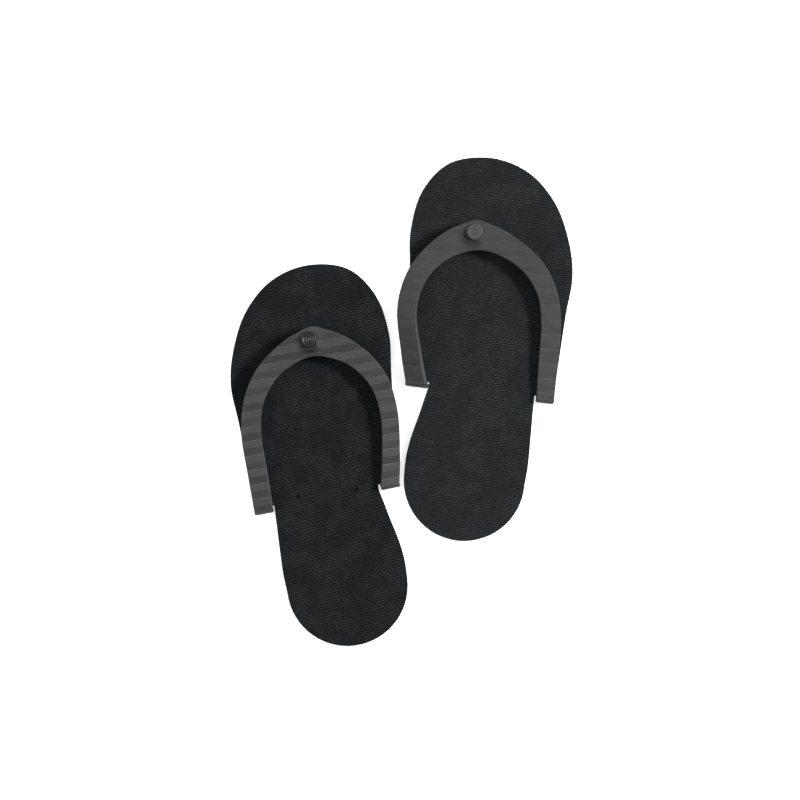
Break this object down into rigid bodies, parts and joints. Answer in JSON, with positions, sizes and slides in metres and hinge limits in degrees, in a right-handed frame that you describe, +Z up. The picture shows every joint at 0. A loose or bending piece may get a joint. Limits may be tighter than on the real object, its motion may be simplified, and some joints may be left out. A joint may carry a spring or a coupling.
{
  "type": "flip flop",
  "caption": "Pair of one-piece fold-over foam flip-flops: woven-faced footbed, ribbed foam strap folded forward from the waist and held by a toe post and a round button.",
  "frame": {"origin": "on the floor under the middle of the pair's bounding box", "axes": "+Y towards the toes, +X from the left shoe to the right shoe, +Z up"},
  "size_m": [0.2462, 0.3516, 0.0245],
  "materials": {
    "foam": "matte ribbed EVA foam",
    "face_cloth": "fine dull weave bonded to the foam",
    "post_plastic": "satin moulded plastic",
    "button_plastic": "satin moulded plastic"
  },
  "bodies": {
    "left_sole": {"left_sole_foam": "foam", "left_sole_cloth": "face_cloth", "left_fold_webs": "foam"},
    "left_strap": {"left_strap_foam": "foam", "left_strap_cloth": "face_cloth"},
    "left_button": {"left_toe_post": "post_plastic", "left_toe_button": "button_plastic"},
    "right_sole": {"right_sole_foam": "foam", "right_sole_cloth": "face_cloth", "right_fold_webs": "foam"},
    "right_strap": {"right_strap_foam": "foam", "right_strap_cloth": "face_cloth"},
    "right_button": {"right_toe_post": "post_plastic", "right_toe_button": "button_plastic"}
  },
  "joints": [
    {"name": "right_shoe_lift", "type": "slide", "parent": "left_sole", "child": "right_sole", "axis": [0, 0, 1], "range_m": [0, 0.15]},
    {"name": "left_strap_fold", "type": "hinge", "parent": "left_sole", "child": "left_strap", "pos_m": [-0.04724, -0.06721, 0.005], "axis": [0.9803, 0.1977, 0], "range_deg": [0, 150], "deforming": ["left_fold_webs"]},
    {"name": "left_button_turn", "type": "hinge", "parent": "left_sole", "child": "left_button", "pos_m": [-0.0663, 0.04458, 0.005], "axis": [0, 0, 1], "continuous": true},
    {"name": "right_strap_fold", "type": "hinge", "parent": "right_sole", "child": "right_strap", "pos_m": [0.05061, 0.0086, 0.005], "axis": [0.9921, -0.1253, 0], "range_deg": [0, 120], "deforming": ["right_fold_webs"]},
    {"name": "right_button_turn", "type": "hinge", "parent": "right_sole", "child": "right_button", "pos_m": [0.05214, 0.12128, 0.005], "axis": [0, 0, 1], "continuous": true}
  ]
}
